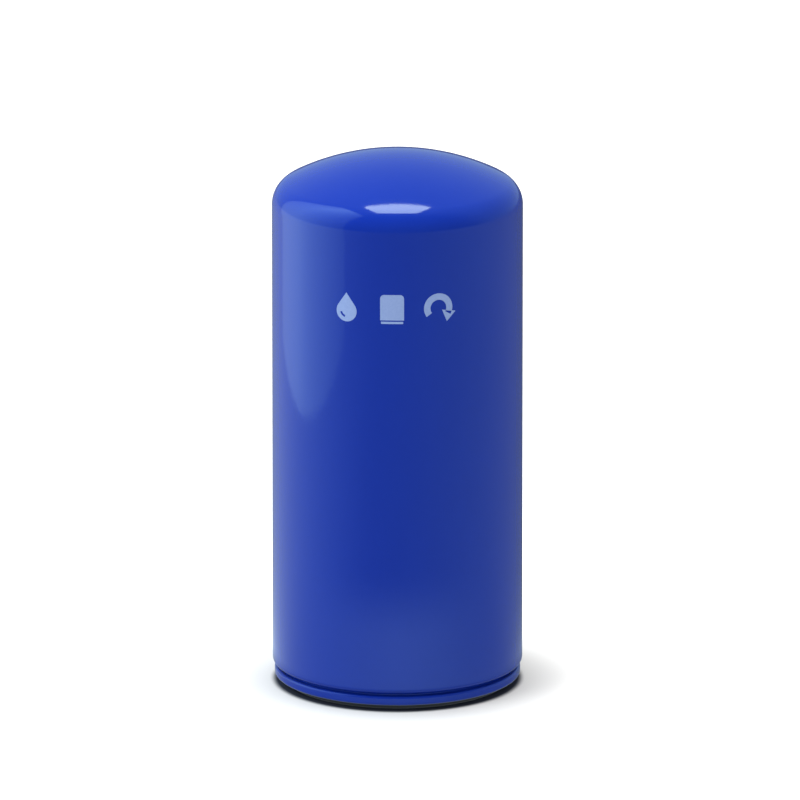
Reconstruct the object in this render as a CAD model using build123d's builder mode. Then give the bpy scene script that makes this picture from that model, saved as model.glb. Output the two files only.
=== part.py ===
"""Heavy-duty spin-on oil filter, standing on its mounting gasket with the domed end up.

Frame: origin at the centre of the gasket's sealing face, +Z up the filter's axis to the dome.
Profiles are drawn as (radius, height) on the XZ plane and turned round the Z axis.
"""

import os
from math import asin, cos, degrees, radians, sin, sqrt

from build123d import *

# ---------------------------------------------------------------- driving dimensions, mm
can_radius = 59.0
overall_height = 255.5
can_wall = 0.9
dome_rise = 24.0  # from the end of the straight wall to the crown
shoulder_radius = 12.5

gasket_stand = 2.8  # how far the gasket stands out below the rolled seam
seam_radius = 58.0
seam_top = 7.2
lid_wall = 0.7
ply_gap = 0.05  # between the plies of the seam, and between pieces that only touch

gasket_outer_radius = 53.0
gasket_inner_radius = 46.5
gasket_height = 6.6

plate_radius = 53.6
plate_thickness = 5.0
thread_major_radius = 19.05  # 1 1/2 in, 16 threads to the inch
thread_pitch = 25.4 / 16
collar_radius = 22.4
collar_top = 19.0
collar_step_radius = 26.5
collar_step_top = 16.0
inlet_count = 8
inlet_radius = 5.3
inlet_circle_radius = 32.6

element_bottom = 19.45
element_top = 224.5
cap_wall = 0.5
cap_radius = 51.0
cap_rim = 7.0
potting_depth = 3.5
pleat_count = 60
pleat_outer_radius = 50.0
pleat_inner_radius = 23.3
media_thickness = 0.8
tube_radius = 22.4
tube_wall = 0.6
tube_columns = 12
tube_rows = 19
tube_hole_radius = 2.6

bypass_hole_radius = 11.0  # the hole in the upper end cap that holds the bypass valve
boss_radius = 17.2  # the raised boss round that hole
boss_rise = 3.0
cage_radius = 15.6
cage_bottom = 205.4
seat_lip = 224.6
disc_radius = 12.6
stem_radius = 2.4

os.makedirs("parts", exist_ok=True)

# ---------------------------------------------------------------- can shell
# Deep-drawn steel can: dome, shoulder, straight wall, neck, and the body hook of the double seam.
# The profile is the middle of the sheet, traced to the sheet's thickness.
wall_middle = can_radius - can_wall / 2
shoulder_middle = shoulder_radius - can_wall / 2
shoulder_centre = can_radius - shoulder_radius
dome_radius = (shoulder_centre**2 + dome_rise**2 - shoulder_radius**2) / (
    2 * (dome_rise - shoulder_radius)
)
dome_angle = degrees(asin(shoulder_centre / (dome_radius - shoulder_radius)))

# the middles of the seam's five plies, counted inwards from its outer face
seam_wall_middle = seam_radius - lid_wall / 2
body_hook_middle = seam_radius - lid_wall - ply_gap - can_wall / 2
cover_hook_middle = body_hook_middle - can_wall / 2 - ply_gap - lid_wall / 2
neck_middle = cover_hook_middle - lid_wall / 2 - ply_gap - can_wall / 2
chuck_wall_middle = neck_middle - can_wall / 2 - ply_gap - lid_wall / 2

neck_top = 11.2
neck_upper_bend = 2.2
neck_lower_bend = 1.2
neck_angle = 85.0
neck_bends_inward = (neck_upper_bend + neck_lower_bend) * (1 - cos(radians(neck_angle)))
neck_straight = (wall_middle - neck_middle - neck_bends_inward) / sin(radians(neck_angle))
body_bend = (body_hook_middle - neck_middle) / 2
body_bend_height = gasket_stand + lid_wall + ply_gap + can_wall / 2 + body_bend
body_hook_top = 5.95

with BuildPart() as can_shell:
    with BuildSketch(Plane.XZ):
        with BuildLine():
            crown = JernArc(
                (0, overall_height - can_wall / 2), (1, 0), dome_radius - can_wall / 2, -dome_angle
            )
            shoulder = JernArc(crown @ 1, crown % 1, shoulder_middle, dome_angle - 90)
            wall = Line(shoulder @ 1, (wall_middle, neck_top))
            neck_in = JernArc(wall @ 1, wall % 1, neck_upper_bend, -neck_angle)
            neck_flat = PolarLine(neck_in @ 1, neck_straight, direction=neck_in % 1)
            neck_down = JernArc(neck_flat @ 1, neck_flat % 1, neck_lower_bend, neck_angle)
            neck = Line(neck_down @ 1, (neck_middle, body_bend_height))
            body_turn = JernArc(neck @ 1, neck % 1, body_bend, 180)
            Line(body_turn @ 1, (body_hook_middle, body_hook_top))
        trace(line_width=can_wall)
    revolve(axis=Axis.Z)

can_shell.part.label = "can_shell"
export_step(can_shell.part, "parts/can_shell.step")

# ---------------------------------------------------------------- seaming lid
# Thin stamped ring: cover hook, seam wall, chuck wall, gasket channel, stiffening bead, and the
# land that is spot-welded to the base plate.
lid_top = gasket_height + ply_gap + lid_wall
cover_bend = (seam_wall_middle - cover_hook_middle) / 2
cover_bend_height = seam_top - lid_wall / 2 - cover_bend
cover_hook_bottom = 5.35
panel_height = gasket_stand + lid_wall / 2
seam_corner = 1.0
chuck_corner = 0.8
channel_corner = 0.9
channel_middle = gasket_inner_radius - ply_gap - lid_wall / 2
bead_bend = 0.9
bead_height = 4.9
land_corner = 0.8
land_height = lid_top - lid_wall / 2
land_inner_radius = 39.0
weld_count = 8
weld_circle_radius = 41.2
weld_radius = 1.5
weld_depth = 0.25

with BuildPart() as seaming_lid:
    with BuildSketch(Plane.XZ):
        with BuildLine():
            cover_hook = Line(
                (cover_hook_middle, cover_hook_bottom), (cover_hook_middle, cover_bend_height)
            )
            cover_turn = JernArc(cover_hook @ 1, cover_hook % 1, cover_bend, -180)
            seam_wall = Line(cover_turn @ 1, (seam_wall_middle, panel_height + seam_corner))
            seam_turn = JernArc(seam_wall @ 1, seam_wall % 1, seam_corner, -90)
            panel = Line(seam_turn @ 1, (chuck_wall_middle + chuck_corner, panel_height))
            chuck_turn = JernArc(panel @ 1, panel % 1, chuck_corner, -90)
            chuck_wall = Line(chuck_turn @ 1, (chuck_wall_middle, land_height - channel_corner))
            roof_turn = JernArc(chuck_wall @ 1, chuck_wall % 1, channel_corner, 90)
            roof = Line(roof_turn @ 1, (channel_middle + land_corner, land_height))
            channel_turn = JernArc(roof @ 1, roof % 1, land_corner, 90)
            channel_wall = Line(channel_turn @ 1, (channel_middle, bead_height))
            bead_turn = JernArc(channel_wall @ 1, channel_wall % 1, bead_bend, -180)
            bead_wall = Line(
                bead_turn @ 1, (channel_middle - 2 * bead_bend, land_height - land_corner)
            )
            land_turn = JernArc(bead_wall @ 1, bead_wall % 1, land_corner, 90)
            Line(land_turn @ 1, (land_inner_radius, land_height))
        trace(line_width=lid_wall)
    revolve(axis=Axis.Z)
    # the dimples that the welding electrodes leave in the land
    with BuildSketch(Plane.XY.offset(lid_top - lid_wall)):
        with PolarLocations(weld_circle_radius, weld_count, start_angle=180 / weld_count):
            Circle(weld_radius)
    extrude(amount=weld_depth, mode=Mode.SUBTRACT)

seaming_lid.part.label = "seaming_lid"
export_step(seaming_lid.part, "parts/seaming_lid.step")

# ---------------------------------------------------------------- mounting gasket
gasket_edge_radius = 0.8

with BuildPart() as mounting_gasket:
    with BuildSketch():
        Circle(gasket_outer_radius)
        Circle(gasket_inner_radius, mode=Mode.SUBTRACT)
    extrude(amount=gasket_height)
    fillet(mounting_gasket.edges().group_by(Axis.Z)[0], gasket_edge_radius)
    chamfer(mounting_gasket.edges().group_by(Axis.Z)[-1], gasket_edge_radius / 2)

mounting_gasket.part.label = "mounting_gasket"
export_step(mounting_gasket.part, "parts/mounting_gasket.step")

# ---------------------------------------------------------------- base plate
# Thick steel plate with a drawn and tapped collar, and a ring of oil inlet holes.
plate_bottom = lid_top
plate_top = plate_bottom + plate_thickness
plate_chamfer = 0.6
hub_radius = 24.5
hub_drop = 0.8
hub_bottom = plate_bottom - hub_drop
collar_chamfer = 0.7

# the bore is tapped with 60 degree flanks; its wall stands at the crests, the minor radius
thread_depth = 0.625 * thread_pitch * cos(radians(30))
thread_minor_radius = thread_major_radius - thread_depth
lead_in_radius = thread_major_radius + 0.25
lead_in = lead_in_radius - thread_minor_radius

with BuildPart() as base_plate:
    with BuildSketch(Plane.XZ):
        with BuildLine():
            Polyline(
                (thread_minor_radius, hub_bottom + lead_in),
                (lead_in_radius, hub_bottom),
                (hub_radius, hub_bottom),
                (hub_radius + hub_drop, plate_bottom),
                (plate_radius - plate_chamfer, plate_bottom),
                (plate_radius, plate_bottom + plate_chamfer),
                (plate_radius, plate_top - plate_chamfer),
                (plate_radius - plate_chamfer, plate_top),
                (collar_step_radius, plate_top),
                (collar_step_radius, collar_step_top),
                (collar_radius, collar_step_top),
                (collar_radius, collar_top - collar_chamfer),
                (collar_radius - collar_chamfer, collar_top),
                (lead_in_radius, collar_top),
                (thread_minor_radius, collar_top - lead_in),
                close=True,
            )
        make_face()
    revolve(axis=Axis.Z)
    with BuildSketch(Plane.XY.offset(plate_bottom)):
        with PolarLocations(inlet_circle_radius, inlet_count):
            Circle(inlet_radius)
    extrude(amount=plate_thickness, mode=Mode.SUBTRACT)

base_plate.part.label = "base_plate"
export_step(base_plate.part, "parts/base_plate.step")

# ---------------------------------------------------------------- anti-drainback diaphragm
# One rubber moulding: a hub that grips the collar, and a thin skirt over the inlet holes.
lip_radius = 42.8
lip_contact_radius = 40.5

with BuildPart() as drainback_diaphragm:
    with BuildSketch(Plane.XZ):
        with BuildLine():
            Polyline(
                (collar_radius + ply_gap, collar_step_top + ply_gap),
                (collar_step_radius + 0.5, collar_step_top + ply_gap),
                (lip_contact_radius, plate_top + ply_gap),
                (lip_radius - 0.4, plate_top + ply_gap),
                (lip_radius, plate_top + 0.5),
                (lip_radius - 0.1, plate_top + 1.0),
                (collar_step_radius + 2.2, collar_step_top + 1.9),
                (collar_step_radius, element_bottom - ply_gap),
                (collar_radius + ply_gap, element_bottom - ply_gap),
                close=True,
            )
        make_face()
    revolve(axis=Axis.Z)

drainback_diaphragm.part.label = "drainback_diaphragm"
export_step(drainback_diaphragm.part, "parts/drainback_diaphragm.step")

# ---------------------------------------------------------------- filter element end caps
# Two stamped steel troughs that hold the ends of the pleats. The lower one has a lipped hole for
# the clean oil; the upper one has a raised boss that carries the bypass valve.
cap_bend = 1.2
rim_middle = cap_radius - cap_wall / 2
lip_middle = 20.95
lip_height = 3.4
lip_bend = 0.6
boss_bend = 0.8
boss_underside = element_top + boss_rise - cap_wall

with BuildPart() as lower_end_cap:
    with BuildSketch(Plane.XZ):
        with BuildLine():
            lip = Line(
                (lip_middle, element_bottom + lip_height),
                (lip_middle, element_bottom + cap_wall / 2 + lip_bend),
            )
            lip_turn = JernArc(lip @ 1, lip % 1, lip_bend, 90)
            floor = Line(lip_turn @ 1, (rim_middle - cap_bend, element_bottom + cap_wall / 2))
            rim_turn = JernArc(floor @ 1, floor % 1, cap_bend, 90)
            Line(rim_turn @ 1, (rim_middle, element_bottom + cap_rim))
        trace(line_width=cap_wall)
    revolve(axis=Axis.Z)

lower_end_cap.part.label = "lower_end_cap"
export_step(lower_end_cap.part, "parts/lower_end_cap.step")

with BuildPart() as upper_end_cap:
    with BuildSketch(Plane.XZ):
        with BuildLine():
            boss = Line(
                (bypass_hole_radius, boss_underside + cap_wall / 2),
                (boss_radius - boss_bend, boss_underside + cap_wall / 2),
            )
            boss_edge = JernArc(boss @ 1, boss % 1, boss_bend, -90)
            boss_wall = Line(
                boss_edge @ 1, (boss_radius, element_top - cap_wall / 2 + boss_bend)
            )
            boss_foot = JernArc(boss_wall @ 1, boss_wall % 1, boss_bend, 90)
            roof_flat = Line(boss_foot @ 1, (rim_middle - cap_bend, element_top - cap_wall / 2))
            rim_turn = JernArc(roof_flat @ 1, roof_flat % 1, cap_bend, -90)
            Line(rim_turn @ 1, (rim_middle, element_top - cap_rim))
        trace(line_width=cap_wall)
    revolve(axis=Axis.Z)

upper_end_cap.part.label = "upper_end_cap"
export_step(upper_end_cap.part, "parts/upper_end_cap.step")

# ---------------------------------------------------------------- pleated media
# A sheet folded into pleats: straight legs joined by an arc at each outer and inner fold. The two
# outlines of the sheet run half its thickness outside and inside its middle.
pleat_angle = 360 / pleat_count
outer_fold = 0.9  # radii of the folds at the middle of the sheet
inner_fold = 0.62
outer_centre = pleat_outer_radius - media_thickness / 2 - outer_fold
inner_centre = pleat_inner_radius + media_thickness / 2 + inner_fold
media_clearance = 0.8  # the potting under the ends of the pleats
media_bottom = element_bottom + cap_wall + media_clearance
media_top = element_top - cap_wall - media_clearance

# one leg runs between the fold centres, tangent to both folds
fold_to_fold = Vector(inner_centre, 0).rotate(Axis.Z, pleat_angle / 2) - Vector(outer_centre, 0)
leg_along = fold_to_fold.normalized()
leg_lean = (outer_fold + inner_fold) / fold_to_fold.length
leg_normal = leg_along * leg_lean + Vector(leg_along.Y, -leg_along.X) * sqrt(1 - leg_lean**2)


def pleat_outline(outside):
    """Draws the closed outline of the pleats, this far outside the middle of the sheet."""
    leg_outer = Vector(outer_centre, 0) + leg_normal * (outer_fold + outside)
    leg_inner = Vector(outer_centre, 0) + fold_to_fold - leg_normal * (inner_fold - outside)
    inner_tip = Vector(inner_centre - inner_fold + outside, 0).rotate(Axis.Z, pleat_angle / 2)
    back_inner = Vector(leg_inner.X, -leg_inner.Y).rotate(Axis.Z, pleat_angle)
    back_outer = Vector(leg_outer.X, -leg_outer.Y).rotate(Axis.Z, pleat_angle)
    outer_tip = Vector(outer_centre + outer_fold + outside, 0).rotate(Axis.Z, pleat_angle)
    next_outer = leg_outer.rotate(Axis.Z, pleat_angle)
    corners = (leg_outer, leg_inner, inner_tip, back_inner, back_outer, outer_tip, next_outer)
    for pleat in range(pleat_count):
        a, b, c, d, e, f, g = (point.rotate(Axis.Z, pleat * pleat_angle) for point in corners)
        Line(a, b)
        ThreePointArc(b, c, d)
        Line(d, e)
        ThreePointArc(e, f, g)


with BuildPart() as pleated_media:
    with BuildSketch(Plane.XY.offset(media_bottom)):
        with BuildLine():
            pleat_outline(media_thickness / 2)
        make_face()
        with BuildLine():
            pleat_outline(-media_thickness / 2)
        make_face(mode=Mode.SUBTRACT)
    extrude(amount=media_top - media_bottom)

pleated_media.part.label = "pleated_media"
export_step(pleated_media.part, "parts/pleated_media.step")

# ---------------------------------------------------------------- potting
# Rings of cured plastisol that bond and seal the pleat ends into the caps.
potting_outer_radius = cap_radius - cap_wall
potting_edge = cap_bend - cap_wall / 2
lower_potting_top = element_bottom + cap_wall + potting_depth
upper_potting_bottom = element_top - cap_wall - potting_depth

with BuildPart() as lower_potting:
    with BuildSketch(Plane.XY.offset(element_bottom + cap_wall)):
        Circle(potting_outer_radius)
        Circle(tube_radius, mode=Mode.SUBTRACT)
    extrude(amount=potting_depth)
    fillet(lower_potting.edges().group_by(Axis.Z)[0].sort_by(SortBy.LENGTH)[-1], potting_edge)
    add(pleated_media.part, mode=Mode.SUBTRACT)

lower_potting.part.label = "lower_potting"
export_step(lower_potting.part, "parts/lower_potting.step")

with BuildPart() as upper_potting:
    with BuildSketch(Plane.XY.offset(upper_potting_bottom)):
        Circle(potting_outer_radius)
        Circle(tube_radius, mode=Mode.SUBTRACT)
    extrude(amount=potting_depth)
    fillet(upper_potting.edges().group_by(Axis.Z)[-1].sort_by(SortBy.LENGTH)[-1], potting_edge)
    add(pleated_media.part, mode=Mode.SUBTRACT)

upper_potting.part.label = "upper_potting"
export_step(upper_potting.part, "parts/upper_potting.step")

# ---------------------------------------------------------------- media seam clip
# The two ends of the media are held together by a steel strip crimped over one outer fold.
clip_wall = 0.4
clip_depth = 5.0
clip_fold = outer_fold + media_thickness / 2 + clip_wall / 2
clip_corner = Vector(outer_centre, 0) + leg_normal * clip_fold
clip_end = clip_corner - Vector(leg_normal.Y, -leg_normal.X) * clip_depth

with BuildPart() as media_seam_clip:
    with BuildSketch(Plane.XY.offset(lower_potting_top)):
        with BuildLine():
            Line(clip_end, clip_corner)
            ThreePointArc(
                clip_corner, (outer_centre + clip_fold, 0), (clip_corner.X, -clip_corner.Y)
            )
            Line((clip_corner.X, -clip_corner.Y), (clip_end.X, -clip_end.Y))
        trace(line_width=clip_wall)
    extrude(amount=upper_potting_bottom - lower_potting_top)

media_seam_clip.part.label = "media_seam_clip"
export_step(media_seam_clip.part, "parts/media_seam_clip.step")

# ---------------------------------------------------------------- spacer bead
# A string of hot melt wound round the outer folds keeps the pleats evenly spaced.
bead_radius = 0.6
bead_turns = 6
bead_from_rim = 3.0
bead_bottom = element_bottom + cap_rim + bead_from_rim
bead_top = element_top - cap_rim - bead_from_rim

with BuildPart() as spacer_bead:
    with BuildLine() as bead_path:
        Helix(
            pitch=(bead_top - bead_bottom) / bead_turns,
            height=bead_top - bead_bottom,
            radius=pleat_outer_radius + clip_wall + bead_radius,
            center=(0, 0, bead_bottom),
        )
    with BuildSketch(
        Plane(origin=bead_path.line @ 0, x_dir=(1, 0, 0), z_dir=bead_path.line % 0)
    ):
        Circle(bead_radius)
    sweep(path=bead_path.line, is_frenet=True)

spacer_bead.part.label = "spacer_bead"
export_step(spacer_bead.part, "parts/spacer_bead.step")

# ---------------------------------------------------------------- centre tube
# Perforated steel tube that stops the pleats collapsing inwards. Alternate columns of holes are
# half a pitch apart, and each cut goes through two opposite columns.
tube_bottom = element_bottom + cap_wall
tube_top = element_top - cap_wall
hole_pitch = (tube_top - tube_bottom - 2 * cap_rim) / (tube_rows + 1)

with BuildPart() as centre_tube:
    with BuildSketch(Plane.XY.offset(tube_bottom)):
        Circle(tube_radius)
        Circle(tube_radius - tube_wall, mode=Mode.SUBTRACT)
    extrude(amount=tube_top - tube_bottom)
    for column in range(tube_columns // 2):
        angle = radians(column * 360 / tube_columns)
        stagger = (column % 2 - 0.5) * hole_pitch / 2
        hole_plane = Plane(
            origin=(0, 0, (tube_bottom + tube_top) / 2 + stagger),
            x_dir=(0, 0, 1),
            z_dir=(cos(angle), sin(angle), 0),
        )
        with BuildSketch(hole_plane):
            with GridLocations(hole_pitch, hole_pitch, tube_rows, 1):
                Circle(tube_hole_radius)
        extrude(amount=tube_radius + 1, both=True, mode=Mode.SUBTRACT)

centre_tube.part.label = "centre_tube"
export_step(centre_tube.part, "parts/centre_tube.step")

# ---------------------------------------------------------------- bypass valve seat
# A turned ring that goes down through the cap and the cage's flange, and is flared under them.
seat_bore_radius = 9.6
seat_neck_radius = bypass_hole_radius - 0.1
seat_flange_radius = 13.5
seat_flange_bottom = element_top + boss_rise
seat_flange_top = seat_flange_bottom + 0.7
cage_wall = 0.6
flare_top = boss_underside - cage_wall - ply_gap

with BuildPart() as bypass_seat:
    with BuildSketch(Plane.XZ):
        with BuildLine():
            Polyline(
                (seat_bore_radius, seat_flange_top - 0.5),
                (seat_bore_radius + 0.5, seat_flange_top),
                (seat_flange_radius, seat_flange_top),
                (seat_flange_radius, seat_flange_bottom),
                (seat_neck_radius, seat_flange_bottom),
                (seat_neck_radius, flare_top),
                (seat_neck_radius + 1.2, flare_top),
                (seat_neck_radius + 1.0, flare_top - 0.6),
                (seat_neck_radius - 0.2, flare_top - 0.9),
                (seat_neck_radius - 0.4, seat_lip),
                (seat_bore_radius + 0.4, seat_lip),
                (seat_bore_radius, seat_lip + 0.6),
                close=True,
            )
        make_face()
    revolve(axis=Axis.Z)

bypass_seat.part.label = "bypass_seat"
export_step(bypass_seat.part, "parts/bypass_seat.step")

# ---------------------------------------------------------------- bypass valve cage
# A stamped cup under the cap with side windows. Its floor guides the stem and holds the spring.
cage_flange_radius = 16.2
cage_bend = 1.2
cage_windows = 4
window_width = 11.0
window_height = 12.0
window_middle = cage_bottom + 10.5
window_corner = 2.0
stem_clearance = 0.3

with BuildPart() as bypass_cage:
    with BuildSketch(Plane.XY.offset(boss_underside - cage_wall)):
        Circle(cage_flange_radius)
        Circle(bypass_hole_radius, mode=Mode.SUBTRACT)
    extrude(amount=cage_wall)
    with BuildSketch(Plane.XZ):
        with BuildLine():
            side = Line(
                (cage_radius - cage_wall / 2, boss_underside - cage_wall),
                (cage_radius - cage_wall / 2, cage_bottom + cage_wall / 2 + cage_bend),
            )
            side_turn = JernArc(side @ 1, side % 1, cage_bend, -90)
            Line(side_turn @ 1, (stem_radius + stem_clearance, cage_bottom + cage_wall / 2))
        trace(line_width=cage_wall)
    revolve(axis=Axis.Z)
    for window in range(cage_windows // 2):
        angle = radians(45 + window * 360 / cage_windows)
        window_plane = Plane(
            origin=(0, 0, window_middle), x_dir=(0, 0, 1), z_dir=(cos(angle), sin(angle), 0)
        )
        with BuildSketch(window_plane):
            RectangleRounded(window_height, window_width, window_corner)
        extrude(amount=cage_radius + 1, both=True, mode=Mode.SUBTRACT)

bypass_cage.part.label = "bypass_cage"
export_step(bypass_cage.part, "parts/bypass_cage.step")

# ---------------------------------------------------------------- bypass valve poppet
# A stamped disc, a rubber washer that meets the seat, and a riveted stem, which move as one.
washer_thickness = 1.5
washer_top = seat_lip - ply_gap
disc_top = washer_top - washer_thickness
disc_thickness = 1.2
disc_rim_height = 1.5
disc_rim_wall = 0.8
disc_bottom = disc_top - disc_thickness
spring_boss_radius = 5.2
spring_boss_height = 1.4
stem_bottom = 200.5
rivet_radius = 4.6
rivet_height = 1.3

with BuildPart() as bypass_washer:
    with BuildSketch(Plane.XY.offset(disc_top)):
        Circle(disc_radius - 0.4)
        Circle(stem_radius, mode=Mode.SUBTRACT)
    extrude(amount=washer_thickness)
    chamfer(bypass_washer.edges().group_by(Axis.Z)[-1].sort_by(SortBy.LENGTH)[-1], 0.3)

bypass_washer.part.label = "bypass_washer"
export_step(bypass_washer.part, "parts/bypass_washer.step")

with BuildPart() as bypass_poppet:
    with BuildSketch(Plane.XZ):
        with BuildLine():
            Polyline(
                (stem_radius, disc_top),
                (disc_radius, disc_top),
                (disc_radius, disc_bottom - disc_rim_height),
                (disc_radius - disc_rim_wall, disc_bottom - disc_rim_height),
                (disc_radius - disc_rim_wall, disc_bottom),
                (spring_boss_radius, disc_bottom),
                (spring_boss_radius - 0.4, disc_bottom - spring_boss_height),
                (stem_radius, disc_bottom - spring_boss_height),
                close=True,
            )
        make_face()
    revolve(axis=Axis.Z)

bypass_poppet.part.label = "bypass_poppet"
export_step(bypass_poppet.part, "parts/bypass_poppet.step")

with BuildPart() as bypass_stem:
    with BuildSketch(Plane.XZ):
        with BuildLine():
            Polyline(
                (0, stem_bottom),
                (stem_radius - 0.5, stem_bottom),
                (stem_radius, stem_bottom + 0.8),
                (stem_radius, washer_top),
                (rivet_radius, washer_top),
                (rivet_radius - 0.3, washer_top + 0.7 * rivet_height),
                (rivet_radius - 1.4, washer_top + rivet_height),
                (0, washer_top + rivet_height),
                close=True,
            )
        make_face()
    revolve(axis=Axis.Z)

bypass_stem.part.label = "bypass_stem"
export_step(bypass_stem.part, "parts/bypass_stem.step")


# ---------------------------------------------------------------- springs
def ground_spring(mean_radius, wire_radius, bottom, top, turns):
    """Adds a coil spring whose ends are ground flat at the given heights."""
    with BuildLine() as wire_path:
        Helix(
            pitch=(top - bottom) / turns,
            height=top - bottom,
            radius=mean_radius,
            center=(0, 0, bottom),
        )
    with BuildSketch(
        Plane(origin=wire_path.line @ 0, x_dir=(1, 0, 0), z_dir=wire_path.line % 0)
    ) as wire:
        Circle(wire_radius)
    sweep(sections=wire.sketch, path=wire_path.line, is_frenet=True)
    with BuildSketch(Plane.XY.offset(bottom)) as between_ends:
        Circle(mean_radius + 2 * wire_radius)
    extrude(between_ends.sketch, amount=top - bottom, mode=Mode.INTERSECT)


# the light spring that holds the bypass valve shut, from the cage's floor to the disc
with BuildPart() as bypass_spring:
    ground_spring(
        mean_radius=7.2,
        wire_radius=0.7,
        bottom=cage_bottom + cage_wall + ply_gap,
        top=disc_bottom - ply_gap,
        turns=4.5,
    )

bypass_spring.part.label = "bypass_spring"
export_step(bypass_spring.part, "parts/bypass_spring.step")

# the strong spring round the cap's boss that pushes the element away from the dome
element_spring_radius = 20.3
element_spring_wire = 1.3
dome_centre = overall_height - dome_radius
dome_inside = dome_radius - can_wall
spring_edge = element_spring_radius + element_spring_wire

with BuildPart() as element_spring:
    ground_spring(
        mean_radius=element_spring_radius,
        wire_radius=element_spring_wire,
        bottom=element_top + ply_gap,
        top=dome_centre + sqrt(dome_inside**2 - spring_edge**2) - 2 * ply_gap,
        turns=4,
    )

element_spring.part.label = "element_spring"
export_step(element_spring.part, "parts/element_spring.step")
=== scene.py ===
"""Heavy-duty spin-on oil filter, from the studio and the painted can inwards to the valve."""

from math import acos, asin, ceil, cos, degrees, hypot, pi, radians, sin, sqrt, tan

import bmesh
import bpy
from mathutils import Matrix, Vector


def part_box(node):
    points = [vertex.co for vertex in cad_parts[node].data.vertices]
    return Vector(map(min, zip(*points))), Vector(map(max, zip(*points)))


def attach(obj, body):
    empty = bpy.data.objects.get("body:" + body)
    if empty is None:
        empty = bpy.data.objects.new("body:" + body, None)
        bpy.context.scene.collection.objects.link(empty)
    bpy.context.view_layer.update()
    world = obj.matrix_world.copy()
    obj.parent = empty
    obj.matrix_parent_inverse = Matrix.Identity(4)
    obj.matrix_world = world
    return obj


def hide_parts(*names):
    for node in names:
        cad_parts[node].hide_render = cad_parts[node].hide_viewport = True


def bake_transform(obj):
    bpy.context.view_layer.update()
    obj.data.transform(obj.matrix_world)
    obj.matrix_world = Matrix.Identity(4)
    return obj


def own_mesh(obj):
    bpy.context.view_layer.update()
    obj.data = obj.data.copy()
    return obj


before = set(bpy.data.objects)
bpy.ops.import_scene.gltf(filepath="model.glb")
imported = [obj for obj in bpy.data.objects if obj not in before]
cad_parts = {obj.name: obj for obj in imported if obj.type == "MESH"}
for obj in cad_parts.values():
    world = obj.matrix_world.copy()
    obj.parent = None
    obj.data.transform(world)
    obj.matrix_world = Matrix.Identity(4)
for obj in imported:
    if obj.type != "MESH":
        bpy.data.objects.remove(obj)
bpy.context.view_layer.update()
MM = 0.001

# -------------------- camera
# A long lens far off and a little above the filter, so that the can's sides stay parallel.
# It is aimed just below the middle of the can.
camera_distance = 8.0
camera_elevation = radians(15.5)
view_width = 376.6 * MM
aim = Vector((1.2 * MM, 0, 135.9 * MM))


def put_in_scene(name, data):
    """A new object in the scene that holds the given mesh, light or camera."""
    thing = bpy.data.objects.new(name, data)
    bpy.context.scene.collection.objects.link(thing)
    return thing


camera = put_in_scene("camera", bpy.data.cameras.new("camera"))
camera.location = aim + camera_distance * Vector((0, -cos(camera_elevation), sin(camera_elevation)))
camera.rotation_euler = (pi / 2 - camera_elevation, 0, 0)
camera.data.sensor_width = 36
camera.data.lens = 36 * camera_distance / view_width
camera.data.clip_end = 100
bpy.context.scene.camera = camera

# -------------------- studio
# A white floor under a white sky, a tall softbox that stands at the left, one overhead that draws
# the bright bar on the shoulder, and three soft lamps that the gloss doesn't show.
bpy.context.scene.view_settings.view_transform = "Standard"


def new_nodes(tree):
    """Empties a node tree and returns short ways to add and to join its nodes."""
    tree.nodes.clear()

    def add(kind, **values):
        node = tree.nodes.new(kind)
        for name, value in values.items():
            if name in node.inputs:
                node.inputs[name].default_value = value
            else:
                setattr(node, name, value)
        return node

    return add, tree.links.new


def sums(add, join):
    """A short way to add one step of a tree's sums, on numbers or on other steps."""

    def step(operation, *values):
        node = add("ShaderNodeMath", operation=operation)
        for socket, value in zip(node.inputs, values):
            if isinstance(value, (int, float)):
                socket.default_value = value
            else:
                join(value, socket)
        return node.outputs[0]

    return step


def between(add, join, value, start, end, low, high, smooth=True):
    """A number that goes from low to high while the value goes from start to end."""
    fade = add("ShaderNodeMapRange", interpolation_type="SMOOTHSTEP" if smooth else "LINEAR")
    numbers = (("From Min", start), ("From Max", end), ("To Min", low), ("To Max", high))
    for name, number in numbers:
        fade.inputs[name].default_value = number
    join(value, fade.inputs["Value"])
    return fade.outputs["Result"]


def seen_or_mirrored(add, join, seen, mirrored, output):
    """One shader for the camera and the light, and another for what the gloss reflects."""
    choose = add("ShaderNodeMixShader")
    join(add("ShaderNodeLightPath").outputs["Is Glossy Ray"], choose.inputs["Fac"])
    join(seen.outputs[0], choose.inputs[1])
    join(mirrored.outputs[0], choose.inputs[2])
    join(choose.outputs[0], add(output).inputs["Surface"])


# in the gloss the sky is pale blue, and dimmer in front of the filter than behind it
dim_sky, bright_sky = 0.26, 0.62
world = bpy.data.worlds.new("white_sky")
world.use_nodes = True
bpy.context.scene.world = world
add, join = new_nodes(world.node_tree)
sky = add("ShaderNodeBackground", Color=(1, 1, 1, 1), Strength=1.0)
mirrored_sky = add("ShaderNodeBackground", Color=(0.62, 0.86, 1, 1))
heading = add("ShaderNodeSeparateXYZ")
join(add("ShaderNodeTexCoord").outputs["Generated"], heading.inputs[0])
to_back = between(add, join, heading.outputs["Y"], -0.45, 0.10, dim_sky, bright_sky)
join(to_back, mirrored_sky.inputs["Strength"])
seen_or_mirrored(add, join, sky, mirrored_sky, "ShaderNodeOutputWorld")

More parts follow.
